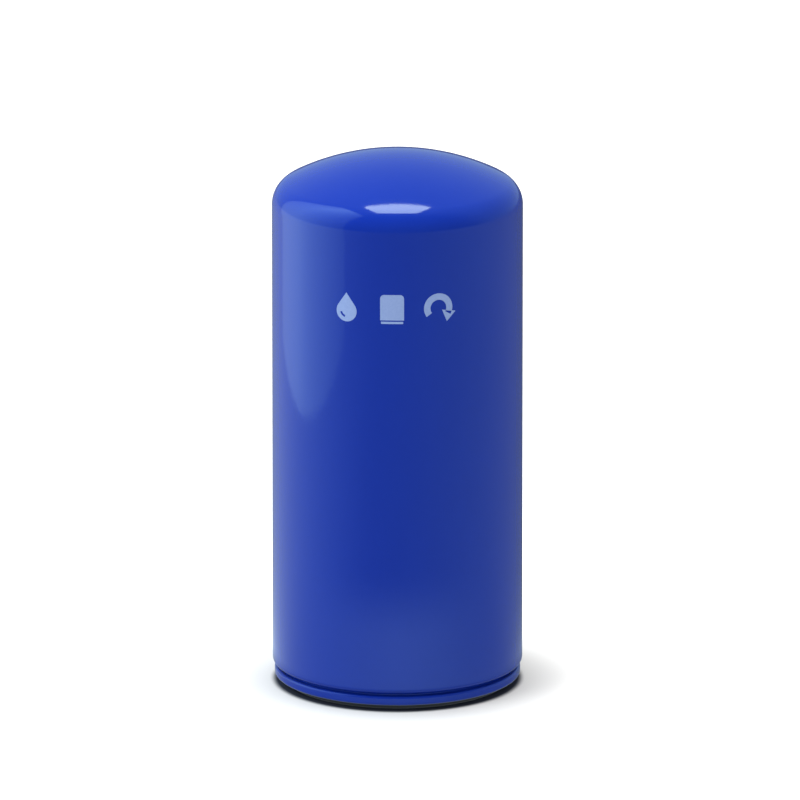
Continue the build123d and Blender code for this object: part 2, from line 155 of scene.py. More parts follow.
# The floor looks plain white. In the gloss it glows as a table top, with painted light that is
# brightest just in front of the filter and towards the softbox at the left, and painted shade under
# the seam.
# Its edges are the two distances from the axis, in metres, between which each light fades out.
floor_reach = 7.0
pool_edge = (0.17, 0.30)
seam_shade_edge = (0.064, 0.094)
shadow_edge = (0.0565, 0.0605)
glow_edge = (0.059, 0.115)
table_level = 0.25
open_table, seam_shade = 1.65, 0.9
floor_glow = 0.55
floor_corners = ((-1, -1), (1, -1), (1, 1), (-1, 1))
floor_mesh = bpy.data.meshes.new("floor")
floor_mesh.from_pydata(
    [(x * floor_reach, y * floor_reach, 0) for x, y in floor_corners], [], [(0, 1, 2, 3)]
)
floor = put_in_scene("floor", floor_mesh)


def new_material(name):
    """An empty material, and the short ways to add and to join its nodes."""
    material = bpy.data.materials.new(name)
    material.use_nodes = True
    return material, *new_nodes(material.node_tree)


floor_paint, add, join = new_material("floor_white")
floor_sum = sums(add, join)
white = add("ShaderNodeBsdfDiffuse")
place = add("ShaderNodeTexCoord")
bearing = add("ShaderNodeVectorMath", operation="NORMALIZE")
join(place.outputs["Object"], bearing.inputs[0])


def towards(direction, strength):
    """Light that grows towards one side of the filter, as the square of the cosine."""
    facing = add("ShaderNodeVectorMath", operation="DOT_PRODUCT")
    join(bearing.outputs[0], facing.inputs[0])
    facing.inputs[1].default_value = direction
    ahead = floor_sum("MAXIMUM", facing.outputs["Value"], 0.0)
    return floor_sum("MULTIPLY", floor_sum("MULTIPLY", ahead, ahead), strength)


def out_to(start, end):
    """One up to the first distance from the axis and nought past the second."""
    return between(add, join, from_axis.outputs["Value"], start, end, 1.0, 0.0)


from_axis = add("ShaderNodeVectorMath", operation="LENGTH")
join(place.outputs["Object"], from_axis.inputs[0])
table_light = floor_sum("MULTIPLY", towards((0.0, -1.0, 0.0), 0.55), out_to(*pool_edge))
table_light = floor_sum("ADD", table_light, table_level)
for direction, strength in (
    ((-0.98, 0.20, 0.0), 0.50),
    ((0.98, -0.17, 0.0), 0.18),
    ((0.1, 0.99, 0.0), -0.16),
):
    table_light = floor_sum("ADD", table_light, towards(direction, strength))
shade = floor_sum("MULTIPLY_ADD", out_to(*seam_shade_edge), -seam_shade, open_table)
mirrored = add("ShaderNodeEmission", Color=(0.74, 0.89, 1, 1))
join(floor_sum("MULTIPLY", table_light, shade), mirrored.inputs["Strength"])

# close to the rubber the floor's colour is a painted shadow, nearly black, and further out the floor
# glows to white
shadow = add("ShaderNodeMix", data_type="RGBA")
join(out_to(*shadow_edge), shadow.inputs["Factor"])
shadow.inputs["A"].default_value = (0.55, 0.55, 0.55, 1)
shadow.inputs["B"].default_value = (0.03, 0.035, 0.05, 1)
join(shadow.outputs["Result"], white.inputs["Color"])
ray = add("ShaderNodeLightPath")
glow = add("ShaderNodeEmission", Color=(1, 1, 1, 1))
away = floor_sum("MULTIPLY_ADD", out_to(*glow_edge), -floor_glow, floor_glow)
join(floor_sum("MULTIPLY", away, ray.outputs["Is Camera Ray"]), glow.inputs["Strength"])
lit_floor = add("ShaderNodeAddShader")
join(white.outputs[0], lit_floor.inputs[0])
join(glow.outputs[0], lit_floor.inputs[1])
seen_or_mirrored(add, join, lit_floor, mirrored, "ShaderNodeOutputMaterial")
floor_mesh.materials.append(floor_paint)


def softbox(name, place, aim_at, width, height, power, mirrored=True):
    """A rectangular light at a place, turned to face a point, that gloss may or may not show."""
    lamp = bpy.data.lights.new(name, "AREA")
    lamp.shape = "RECTANGLE"
    lamp.size = width
    lamp.size_y = height
    lamp.energy = power
    light = put_in_scene(name, lamp)
    light.location = place
    light.rotation_euler = (Vector(aim_at) - Vector(place)).to_track_quat("-Z", "Y").to_euler()
    light.visible_camera = False
    light.visible_glossy = mirrored
    return light


can_middle = (0, 0, 0.13)
left_softbox = softbox(
    "left_softbox", (-0.47, -0.04, 0.67), (0, -0.04, 0.67), width=0.78, height=1.3, power=3.2
)
shoulder_softbox = softbox(
    "shoulder_softbox", (0, 0.21, 1.72), (0, -0.05, 0.243), width=0.60, height=0.72, power=10.6
)
shoulder_softbox.data.color = (1.0, 1.0, 0.85)
for name, place, width, height, power in (
    ("left_key", (-1.8, -1.2, 1.6), 1.2, 1.2, 28.0),
    ("right_fill", (1.8, -0.6, 1.0), 0.8, 1.2, 6.0),
    ("overhead", (0, 0, 2.0), 1.0, 1.0, 25.0),
):
    softbox(name, place, can_middle, width, height, power, mirrored=False)

# the left softbox is brightest beside the filter and near its top, and fades to its two sides
left_softbox.data.use_nodes = True
add, join = new_nodes(left_softbox.data.node_tree)
on_box = add("ShaderNodeNewGeometry")
parts = add("ShaderNodeSeparateXYZ")
join(on_box.outputs["Position"], parts.inputs[0])
front_fade = between(add, join, parts.outputs["Y"], -0.43, 0.05, 0.35, 1.35, smooth=False)
back_fade = between(add, join, parts.outputs["Y"], 0.40, 0.08, 0.20, 1.0, smooth=False)
upwards = between(add, join, parts.outputs["Z"], 0.00, 0.90, 0.85, 2.0, smooth=False)
box_sum = sums(add, join)
brightness = box_sum("MULTIPLY", box_sum("MULTIPLY", front_fade, back_fade), upwards)
glow = add("ShaderNodeEmission", Color=(0.66, 0.90, 1.06, 1))
join(brightness, glow.inputs["Strength"])
join(glow.outputs[0], add("ShaderNodeOutputLight").inputs["Surface"])

# -------------------- painted can
# The can is deep drawn from sheet steel, with a shallow dome, a rounded shoulder and a neck that
# is rolled into the double seam. It is sprayed with blue enamel, which dries with a faint ripple.
# Its wall stands back by the thickness of the ink that is printed on it.
ink_proud = 0.03
can_radius = 59.0 - ink_proud
overall_height = 255.5
can_wall = 0.9
dome_rise = 24.0
shoulder_radius = 12.5
neck_top = 11.2
neck_bend = 2.2
neck_foot_bend = 1.2
neck_angle = 85.0
neck_middle = 55.1
body_bend = 0.85
body_bend_height = 4.85
body_hook_top = 5.95


def arc_steps(radius, angle):
    """How many straight steps an arc needs to stay within a few microns of round."""
    step = 2 * acos(1 - min(0.5, 0.004 / radius))
    return max(3, ceil(radians(abs(angle)) / step))


def bent_sheet(start, heading, wall, *runs):
    """The outline of a bent sheet, from runs of its middle: (length,) or (radius, turn).

    A straight run has a short step at each end, which keeps its shading flat.
    """
    short = 0.02
    sides = ([], [])
    (x, z), angle = start, radians(heading)

    def stand():
        for side, half in zip(sides, (wall / 2, -wall / 2)):
            point = (x - half * sin(angle), z + half * cos(angle))
            if not side or hypot(point[0] - side[-1][0], point[1] - side[-1][1]) > 1e-4:
                side.append(point)

    stand()
    for run in runs:
        if len(run) == 1:
            for share in (short, 1 - 2 * short, short):
                x += share * run[0] * cos(angle)
                z += share * run[0] * sin(angle)
                stand()
        else:
            radius, turn = run
            steps = arc_steps(radius, turn)
            bend = radians(turn) / steps
            chord = 2 * radius * sin(abs(bend) / 2)
            for _ in range(steps):
                x += chord * cos(angle + bend / 2)
                z += chord * sin(angle + bend / 2)
                angle += bend
                stand()
    return sides[0] + sides[1][::-1]


def new_piece(name, vertices, faces, sharp=35):
    """A closed mesh object in millimetres, with its faces outwards and its hard edges kept."""
    mesh = bpy.data.meshes.new(name)
    mesh.from_pydata([Vector(v) * MM for v in vertices], [], faces)
    piece = put_in_scene(name, mesh)
    tidy_mesh(piece, sharp)
    return piece


def tidy_mesh(piece, sharp=35):
    """Joins the seams and poles of a mesh, turns its faces outwards and shades it."""
    shell = bmesh.new()
    shell.from_mesh(piece.data)
    bmesh.ops.remove_doubles(shell, verts=shell.verts, dist=1e-7)
    bmesh.ops.dissolve_degenerate(shell, edges=shell.edges, dist=1e-8)
    bmesh.ops.recalc_face_normals(shell, faces=shell.faces)
    shell.to_mesh(piece.data)
    shell.free()
    piece.data.shade_smooth()
    piece.data.set_sharp_from_angle(angle=radians(sharp))


def turned(name, outline, segments=192, sharp=35):
    """A solid of revolution round the filter's axis, from its closed (radius, height) outline."""
    vertices, rings, faces = [], [], []
    for radius, height in outline:
        first = len(vertices)
        count = segments if radius > 1e-6 else 1
        for k in range(count):
            turn = 2 * pi * k / segments
            vertices.append((radius * cos(turn), radius * sin(turn), height))
        rings.append((first, count))
    for (a, a_count), (b, b_count) in zip(rings, rings[1:] + rings[:1]):
        if a_count == b_count == 1:
            continue
        for k in range(segments):
            here, there = k, (k + 1) % segments
            corners = [a + here % a_count, a + there % a_count]
            corners += [b + there % b_count, b + here % b_count]
            faces.append(list(dict.fromkeys(corners)))
    return new_piece(name, vertices, faces, sharp)


shoulder_centre = can_radius - shoulder_radius
dome_radius = (shoulder_centre**2 + dome_rise**2 - shoulder_radius**2) / (
    2 * (dome_rise - shoulder_radius)
)
dome_angle = degrees(asin(shoulder_centre / (dome_radius - shoulder_radius)))
wall_middle = can_radius - can_wall / 2
wall_length = overall_height - dome_rise - neck_top
bends_inward = (neck_bend + neck_foot_bend) * (1 - cos(radians(neck_angle)))
neck_straight = (wall_middle - neck_middle - bends_inward) / sin(radians(neck_angle))
neck_drop = (neck_bend + neck_foot_bend) * sin(radians(neck_angle))
neck_drop += neck_straight * cos(radians(neck_angle))

can = turned(
    "painted_can",
    bent_sheet(
        (0, overall_height - can_wall / 2),
        0,
        can_wall,
        (dome_radius - can_wall / 2, -dome_angle),
        (shoulder_radius - can_wall / 2, dome_angle - 90),
        (wall_length,),
        (neck_bend, -neck_angle),
        (neck_straight,),
        (neck_foot_bend, neck_angle),
        (neck_top - neck_drop - body_bend_height,),
        (body_bend, 180),
        (body_hook_top - body_bend_height,),
    ),
    segments=240,
)


def paint(piece, finish):
    """Gives a whole piece one finish."""
    piece.data.materials.clear()
    piece.data.materials.append(finish)
    piece.data.polygons.foreach_set("material_index", [0] * len(piece.data.polygons))


def mixed(add, join, factor, first, second, kind="RGBA"):
    """A mix of two colours, or of two numbers of kind FLOAT, by a factor."""
    mix = add("ShaderNodeMix", data_type=kind)
    for name, source in (("Factor", factor), ("A", first), ("B", second)):
        join(source, mix.inputs[name])
    return mix.outputs["Result"]


def mottle_group():
    """The shared mottle of a surface: two tones, a roughness and a height, from one noise."""
    group = bpy.data.node_groups.new("mottle", "ShaderNodeTree")
    sockets = (
        ("Scale", "INPUT", "NodeSocketFloat"),
        ("Stretch", "INPUT", "NodeSocketVector"),
        ("Tone A", "INPUT", "NodeSocketColor"),
        ("Tone B", "INPUT", "NodeSocketColor"),
        ("Rough A", "INPUT", "NodeSocketFloat"),
        ("Rough B", "INPUT", "NodeSocketFloat"),
        ("Colour", "OUTPUT", "NodeSocketColor"),
        ("Roughness", "OUTPUT", "NodeSocketFloat"),
        ("Height", "OUTPUT", "NodeSocketFloat"),
    )
    for name, way, kind in sockets:
        group.interface.new_socket(name, in_out=way, socket_type=kind)
    add, join = new_nodes(group)
    given, result = add("NodeGroupInput"), add("NodeGroupOutput")
    place = add("ShaderNodeTexCoord")
    stretch = add("ShaderNodeVectorMath", operation="MULTIPLY")
    join(place.outputs["Object"], stretch.inputs[0])
    join(given.outputs["Stretch"], stretch.inputs[1])
    noise = add("ShaderNodeTexNoise", Detail=5.0, Roughness=0.6)
    join(stretch.outputs[0], noise.inputs["Vector"])
    join(given.outputs["Scale"], noise.inputs["Scale"])
    spread = between(add, join, noise.outputs["Fac"], 0.3, 0.7, 0.0, 1.0, smooth=False)
    tones, roughs = (
        [given.outputs[f"{kind} {end}"] for end in "AB"] for kind in ("Tone", "Rough")
    )
    join(mixed(add, join, spread, *tones), result.inputs["Colour"])
    join(mixed(add, join, spread, *roughs, kind="FLOAT"), result.inputs["Roughness"])
    join(noise.outputs["Fac"], result.inputs["Height"])
    return group


mottle = mottle_group()
EVENLY = (1.0, 1.0, 1.0)


def place_mottle(add, scale, tones, rough, stretch=EVENLY):
    """Puts the shared mottle in a material, with that material's own tones and scale."""
    node = add("ShaderNodeGroup", node_tree=mottle)
    node.inputs["Scale"].default_value = scale
    node.inputs["Stretch"].default_value = stretch
    for name, tone in zip(("Tone A", "Tone B"), tones):
        node.inputs[name].default_value = (*tone, 1)
    for name, value in zip(("Rough A", "Rough B"), rough):
        node.inputs[name].default_value = value
    return node


def plain_finish(name, scale, tones, rough, depth, stretch=EVENLY, **settings):
    """A finish whose tone, roughness and relief, in millimetres, come from the shared mottle."""
    material, add, join = new_material(name)
    surface = add("ShaderNodeBsdfPrincipled")
    for socket, value in settings.items():
        surface.inputs[socket.replace("_", " ")].default_value = value
    grain = place_mottle(add, scale, tones, rough, stretch)
    relief = add("ShaderNodeBump", Strength=1.0, Distance=depth * MM)
    join(grain.outputs["Colour"], surface.inputs["Base Color"])
    join(grain.outputs["Roughness"], surface.inputs["Roughness"])
    join(grain.outputs["Height"], relief.inputs["Height"])
    join(relief.outputs["Normal"], surface.inputs["Normal"])
    join(surface.outputs[0], add("ShaderNodeOutputMaterial").inputs["Surface"])
    return material


ENAMEL_BLUES = ((0.0022, 0.0155, 0.214), (0.0032, 0.0180, 0.228))


def enamel_layer(add, join, surface):
    """Blue enamel: a slow drift of tone, and the ripple of the spray in its gloss."""
    drift = place_mottle(
        add, scale=14.0, tones=ENAMEL_BLUES, rough=(0.065, 0.09), stretch=(1.0, 1.0, 0.35)
    )
    place = add("ShaderNodeTexCoord")
    ripple = add("ShaderNodeTexNoise", Scale=330.0, Detail=1.5, Roughness=0.4)
    join(place.outputs["Object"], ripple.inputs["Vector"])
    relief = add("ShaderNodeBump", Strength=1.0, Distance=0.012 * MM)
    join(ripple.outputs["Fac"], relief.inputs["Height"])
    join(relief.outputs["Normal"], surface.inputs["Normal"])
    surface.inputs["Specular Tint"].default_value = (0.65, 0.85, 1, 1)
    return drift


enamel, add, join = new_material("blue_enamel")
surface = add("ShaderNodeBsdfPrincipled")
drift = enamel_layer(add, join, surface)
join(drift.outputs["Colour"], surface.inputs["Base Color"])
join(drift.outputs["Roughness"], surface.inputs["Roughness"])
join(surface.outputs[0], add("ShaderNodeOutputMaterial").inputs["Surface"])
paint(can, enamel)
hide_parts("can_shell")
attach(can, "housing")

# -------------------- printed signs
# Three plain signs are printed round the can in pale blue ink: an oil drop, the filter itself and
# an arrow that shows which way it tightens. The ink is a film a few hundredths of a millimetre.
sign_middle = 196.0
sign_height = 14.0
sign_pitch = 22.0
sign_shift = -2.5
ink_top = can_radius + ink_proud
ink_bottom = can_radius - ink_proud
ink_slice = 0.8
drop_round = 5.1
glint_outer, glint_inner = 3.2, 2.2
canister_half = 5.6
canister_corner = 1.9
canister_foot = 1.7
bar_half = 5.2
bar_height = 1.1
arrow_width = 3.1


def round_points(centre, radius, start, end, steps):
    """Points along an arc, by angles in degrees."""
    angles = [radians(start + (end - start) * k / steps) for k in range(steps + 1)]
    return [(centre[0] + radius * cos(a), centre[1] + radius * sin(a)) for a in angles]


half_sign = sign_height / 2
drop_middle = (0, drop_round - half_sign)
drop_lean = degrees(acos(drop_round / (sign_height - drop_round)))
drop = round_points(drop_middle, drop_round, 90 - drop_lean, -270 + drop_lean, 40)
drop.append((0, half_sign))
glint = round_points(drop_middle, glint_outer, 190, 255, 12)
glint += round_points(drop_middle, glint_inner, 255, 190, 12)
corner_x, corner_z = canister_half - canister_corner, half_sign - canister_corner
canister = round_points((corner_x, corner_z), canister_corner, 0, 90, 8)
canister += round_points((-corner_x, corner_z), canister_corner, 90, 180, 8)
canister += [(x, canister_foot - half_sign) for x in (-canister_half, canister_half)]
seam_bar = [(-bar_half, -half_sign), (bar_half, -half_sign)]
seam_bar += [(x, bar_height - half_sign) for x in (bar_half, -bar_half)]
arrow_ring = round_points((0, 0), half_sign, 215, -30, 40)
arrow_ring += round_points((0, 0), half_sign - arrow_width, -30, 215, 40)
arrow_head = [(half_sign + 1.6, -2.2), (half_sign - 5.2, -1.0), (half_sign - 2.8, -6.8)]


def printed_sign(shift, *outlines):
    """Flat ink outlines, cut into narrow strips and wrapped round the can."""
    drawn = bpy.data.curves.new("sign", "CURVE")
    drawn.dimensions = "2D"
    drawn.fill_mode = "BOTH"
    for outline in outlines:
        spline = drawn.splines.new("POLY")
        spline.points.add(len(outline) - 1)
        for point, (x, z) in zip(spline.points, outline):
            point.co = (x + shift, z, 0, 1)
        spline.use_cyclic_u = True
    holder = bpy.data.objects.new("sign", drawn)
    flat = bpy.data.meshes.new_from_object(holder)
    bpy.data.objects.remove(holder)
    ink = bmesh.new()
    ink.from_mesh(flat)
    bmesh.ops.remove_doubles(ink, verts=ink.verts, dist=1e-4)
    x = shift - sign_height
    while x < shift + sign_height:
        whole = ink.verts[:] + ink.edges[:] + ink.faces[:]
        bmesh.ops.bisect_plane(ink, geom=whole, plane_co=(x, 0, 0), plane_no=(1, 0, 0))
        x += ink_slice
    grown = bmesh.ops.extrude_face_region(ink, geom=ink.faces[:], use_keep_orig=True)
    top = {v for v in grown["geom"] if isinstance(v, bmesh.types.BMVert)}
    for vertex in ink.verts:
        turn = vertex.co.x / can_radius
        radius = ink_top if vertex in top else ink_bottom
        height = sign_middle + vertex.co.y
        vertex.co = Vector((radius * sin(turn), -radius * cos(turn), height)) * MM
    bmesh.ops.recalc_face_normals(ink, faces=ink.faces)
    ink.to_mesh(flat)
    ink.free()
    return flat


signs = bmesh.new()
for step, outlines in ((-1, (drop, glint)), (0, (canister, seam_bar)), (1, (arrow_ring, arrow_head))):
    signs.from_mesh(printed_sign(sign_shift + step * sign_pitch, *outlines))
sign_mesh = bpy.data.meshes.new("printed_signs")
signs.to_mesh(sign_mesh)
signs.free()
printed_signs = put_in_scene("printed_signs", sign_mesh)
ink_finish = plain_finish(
    "pale_blue_ink",
    scale=900.0,
    tones=((0.16, 0.235, 0.45), (0.19, 0.265, 0.48)),
    rough=(0.35, 0.5),
    depth=0.004,
)
sign_mesh.materials.append(ink_finish)
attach(printed_signs, "housing")

# -------------------- seaming lid
# A thin ring is rolled together with the can's neck into the double seam, and spot-welded to the
# base plate. The spray reaches over the seam and thins out to bare zinc inside it.
lid_wall = 0.7
seam_radius = 58.0
cover_bend = 0.85
cover_hook_bottom = 5.35
seam_top = 7.2
panel_height = 3.15
seam_corner = 1.0
chuck_corner = 0.8
chuck_middle = 54.25
land_height = 7.0
channel_corner = 0.9
channel_middle = 46.1
land_corner = 0.8
bead_bend = 0.9
bead_height = 4.9
land_inner_radius = 39.0
weld_count = 8
weld_circle_radius = 41.2
weld_radius = 1.5
weld_depth = 0.25

cover_bend_height = seam_top - lid_wall / 2 - cover_bend
seam_middle = seam_radius - lid_wall / 2
lid = turned(
    "seaming_lid_painted",
    bent_sheet(
        (seam_middle - 2 * cover_bend, cover_hook_bottom),
        90,
        lid_wall,
        (cover_bend_height - cover_hook_bottom,),
        (cover_bend, -180),
        (cover_bend_height - panel_height - seam_corner,),
        (seam_corner, -90),
        (seam_middle - seam_corner - chuck_middle - chuck_corner,),
        (chuck_corner, -90),
        (land_height - channel_corner - panel_height - chuck_corner,),
        (channel_corner, 90),
        (chuck_middle - channel_corner - channel_middle - land_corner,),
        (land_corner, 90),
        (land_height - land_corner - bead_height,),
        (bead_bend, -180),
        (land_height - land_corner - bead_height,),
        (land_corner, 90),
        (channel_middle - 2 * bead_bend - land_corner - land_inner_radius,),
    ),
    segments=216,
)


def input_named(tree, name):
    """The identifier of a geometry tree's named input."""
    return next(item.identifier for item in tree.interface.items_tree if item.name == name)


def new_tree(name, *inputs):
    """A geometry node tree with a geometry in and out, and the given named inputs."""
    tree = bpy.data.node_groups.new(name, "GeometryNodeTree")
    tree.interface.new_socket("Geometry", in_out="INPUT", socket_type="NodeSocketGeometry")
    for label, kind in inputs:
        tree.interface.new_socket(label, in_out="INPUT", socket_type=kind)
    tree.interface.new_socket("Geometry", in_out="OUTPUT", socket_type="NodeSocketGeometry")
    add, join = new_nodes(tree)
    return tree, add, join, add("NodeGroupInput"), add("NodeGroupOutput")


def grown_mesh(name, start, tree, **values):
    """Runs a geometry tree on a starting mesh and returns its result as a plain object."""
    holder = put_in_scene(name, start)
    modifier = holder.modifiers.new(name, "NODES")
    modifier.node_group = tree
    for label, value in values.items():
        modifier[input_named(tree, label.replace("_", " "))] = value
    graph = bpy.context.evaluated_depsgraph_get()
    mesh = bpy.data.meshes.new_from_object(holder.evaluated_get(graph))
    mesh.name = name
    bpy.data.objects.remove(holder)
    return put_in_scene(name, mesh)


def end_tree(add, join, given, result, shape):
    """Ends a tree: the copies become real, and take the finish."""
    real = add("GeometryNodeRealizeInstances")
    join(shape, real.inputs[0])
    finish = add("GeometryNodeSetMaterial")
    join(real.outputs[0], finish.inputs["Geometry"])
    join(given.outputs["Material"], finish.inputs["Material"])
    join(finish.outputs[0], result.inputs[0])


def turned_copies(add, join, given, points, turn):
    """Copies of the starting mesh on the points, each turned round the filter's axis."""
    spin = add("ShaderNodeCombineXYZ")
    join(turn, spin.inputs["Z"])
    copies = add("GeometryNodeInstanceOnPoints")
    join(points, copies.inputs["Points"])
    join(given.outputs["Geometry"], copies.inputs["Instance"])
    join(spin.outputs[0], copies.inputs["Rotation"])
    return copies.outputs[0]


def ring_tree():
    """Copies the starting mesh round the filter's axis, a number of times."""
    tree, add, join, given, result = new_tree(
        "ring_of_copies",
        ("Count", "NodeSocketInt"),
        ("First turn", "NodeSocketFloat"),
        ("Material", "NodeSocketMaterial"),
    )
    points = add("GeometryNodePoints")
    join(given.outputs["Count"], points.inputs["Count"])
    ring_sum = sums(add, join)
    number = add("GeometryNodeInputIndex").outputs[0]
    step = ring_sum("DIVIDE", 2 * pi, given.outputs["Count"])
    turn = ring_sum("MULTIPLY_ADD", number, step, given.outputs["First turn"])
    copies = turned_copies(add, join, given, points.outputs["Points"], turn)
    end_tree(add, join, given, result, copies)
    return tree


ring_of_copies = ring_tree()


def turned_cutter(name, outline, middle, segments):
    """A small turned solid that stands at a radius on the X axis, to be copied into a ring."""
    cutter = turned(name, outline, segments)
    mesh = cutter.data
    bpy.data.objects.remove(cutter)
    for vertex in mesh.vertices:
        vertex.co.x += middle * MM
    return mesh


def cut(piece, cutters):
    """Cuts a ring of cutters out of a piece."""
    tool = bpy.data.objects[cutters.name]
    modifier = piece.modifiers.new("cut", "BOOLEAN")
    modifier.operation = "DIFFERENCE"
    modifier.solver = "EXACT"
    modifier.object = tool
    graph = bpy.context.evaluated_depsgraph_get()
    mesh = bpy.data.meshes.new_from_object(piece.evaluated_get(graph))
    piece.modifiers.clear()
    piece.data = mesh
    bpy.data.objects.remove(tool)
    tidy_mesh(piece)


# the dimples left by the welding electrodes, cut with the foot of a ball
ball_radius = (weld_radius**2 + weld_depth**2) / (2 * weld_depth)
land_bottom = land_height - lid_wall / 2
dimple = round_points((0, land_bottom + weld_depth - ball_radius), ball_radius, 90, 80, 5)
dimple = [(max(0.0, x), z) for x, z in dimple if z > land_bottom - 0.3]
dimple[0] = (0.0, dimple[0][1])
dimple += [(dimple[-1][0], land_bottom - 1.0), (0.0, land_bottom - 1.0)]
dimple_mesh = turned_cutter("weld_dimple", dimple, weld_circle_radius, 24)
dimples = grown_mesh(
    "weld_dimples", dimple_mesh, ring_of_copies, Count=weld_count, First_turn=pi / weld_count
)
cut(lid, dimples)

# the spray covers the lid out from 56 mm or so, with an edge made ragged by noise
spray_ragged = 3.0 * MM
spray_starts, spray_covers = 55.3 * MM, 56.6 * MM
lid_finish, add, join = new_material("oversprayed_zinc")
lid_sum = sums(add, join)
surface = add("ShaderNodeBsdfPrincipled")
drift = enamel_layer(add, join, surface)
zinc_grain = place_mottle(
    add, scale=240.0, tones=((0.42, 0.42, 0.40), (0.60, 0.60, 0.57)), rough=(0.32, 0.46)
)
place = add("ShaderNodeTexCoord")
level = add("ShaderNodeVectorMath", operation="MULTIPLY")
level.inputs[1].default_value = (1, 1, 0)
join(place.outputs["Object"], level.inputs[0])
from_axis = add("ShaderNodeVectorMath", operation="LENGTH")
join(level.outputs[0], from_axis.inputs[0])
spray_edge = add("ShaderNodeTexNoise", Scale=420.0, Detail=6.0, Roughness=0.75)
join(place.outputs["Object"], spray_edge.inputs["Vector"])
distance = from_axis.outputs["Value"]
ragged = lid_sum("MULTIPLY_ADD", spray_edge.outputs["Fac"], spray_ragged, distance)
covered = between(add, join, ragged, spray_starts, spray_covers, 0.0, 1.0)
for given, taker, kind in (("Colour", "Base Color", "RGBA"), ("Roughness", "Roughness", "FLOAT")):
    coat = mixed(add, join, covered, zinc_grain.outputs[given], drift.outputs[given], kind)
    join(coat, surface.inputs[taker])
join(lid_sum("SUBTRACT", 1.0, covered), surface.inputs["Metallic"])
join(surface.outputs[0], add("ShaderNodeOutputMaterial").inputs["Surface"])
paint(lid, lid_finish)
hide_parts("seaming_lid")
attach(lid, "housing")

# -------------------- mounting gasket
# A square-cut ring of black nitrile rubber, moulded with rounded lips and pressed into the lid's
# channel. It stands proud of the seam, and is wiped with oil before the filter is fitted.
gasket_low, gasket_high = (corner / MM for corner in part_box("mounting_gasket"))
gasket_outer = 53.0
gasket_inner = 46.5
lip_round = 0.8

gasket_outline = []
for middle, start in (
    ((gasket_outer - lip_round, gasket_low.z + lip_round), -90),
    ((gasket_outer - lip_round, gasket_high.z - lip_round), 0),
    ((gasket_inner + lip_round, gasket_high.z - lip_round), 90),
    ((gasket_inner + lip_round, gasket_low.z + lip_round), 180),
):
    gasket_outline += round_points(middle, lip_round, start, start + 90, 8)
gasket = turned("nitrile_gasket", gasket_outline, segments=192)
nitrile = plain_finish(
    "black_nitrile",
    scale=1500.0,
    tones=((0.010, 0.010, 0.011), (0.018, 0.018, 0.019)),
    rough=(0.38, 0.58),
    depth=0.02,
)
paint(gasket, nitrile)
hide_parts("mounting_gasket")
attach(gasket, "housing")

# -------------------- base plate
# A thick disc of zinc-plated steel, drawn up into a collar that is tapped for the engine's hollow
# stud, with eight holes round it where the dirty oil comes in.
plate_low, plate_high = (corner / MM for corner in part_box("base_plate"))
hub_bottom = plate_low.z
collar_top = plate_high.z
plate_bottom = hub_bottom + 0.8
plate_top = plate_bottom + 5.0
plate_radius = 53.6
plate_chamfer = 0.6
hub_radius = 24.5
collar_step_radius = 26.5
collar_step_top = 16.0
collar_radius = 22.4
collar_chamfer = 0.7
thread_major = 19.05
thread_pitch = 25.4 / 16
thread_depth = 0.625 * thread_pitch * cos(radians(30))
lead_in_radius = thread_major + 0.25
inlet_count = 8
inlet_radius = 5.3
inlet_circle = 32.6
inlet_break = 0.35


def thread_radius(height, turn):
    """The bore's radius at a height, for a groove that climbs one pitch in each turn."""
    half_root = thread_pitch / 16
    phase = (height / thread_pitch - turn) % 1.0
    from_root = abs(phase - 0.5) * thread_pitch - half_root
    groove = thread_major - max(0.0, from_root) * tan(radians(60))
    bore = max(groove, thread_major - thread_depth)
    mouth = lead_in_radius - min(height - hub_bottom, collar_top - height)
    return max(bore, mouth)


def threaded_plate(segments=144, per_pitch=16):
    """The plate turned round its axis, with rows of vertices that climb along the thread."""
    outside = [
        (hub_radius, hub_bottom),
        (hub_radius + 0.8, plate_bottom),
        (plate_radius - plate_chamfer, plate_bottom),
        (plate_radius, plate_bottom + plate_chamfer),
        (plate_radius, plate_top - plate_chamfer),
        (plate_radius - plate_chamfer, plate_top),
        (collar_step_radius, plate_top),
        (collar_step_radius, collar_step_top),
        (collar_radius, collar_step_top),
        (collar_radius, collar_top - collar_chamfer),
        (collar_radius - collar_chamfer, collar_top),
    ]
    first_row = int(hub_bottom / thread_pitch) - 2
    last_row = int(collar_top / thread_pitch) + 1
    rows = [first_row + k / per_pitch for k in range((last_row - first_row) * per_pitch + 1)]
    vertices, faces = [], []
    for column in range(segments + 1):
        turn = column / segments
        outline = []
        for row in reversed(rows):
            height = min(collar_top, max(hub_bottom, (row + turn) * thread_pitch))
            outline.append((thread_radius(height, turn), height))
        outline += outside
        for radius, height in outline:
            angle = 2 * pi * (turn % 1.0)
            vertices.append((radius * cos(angle), radius * sin(angle), height))
    count = len(rows) + len(outside)
    for column in range(segments):
        for k in range(count):
            a, b = column * count + k, column * count + (k + 1) % count
            faces.append((a, b, b + count, a + count))
    return new_piece("threaded_base_plate", vertices, faces, 25)


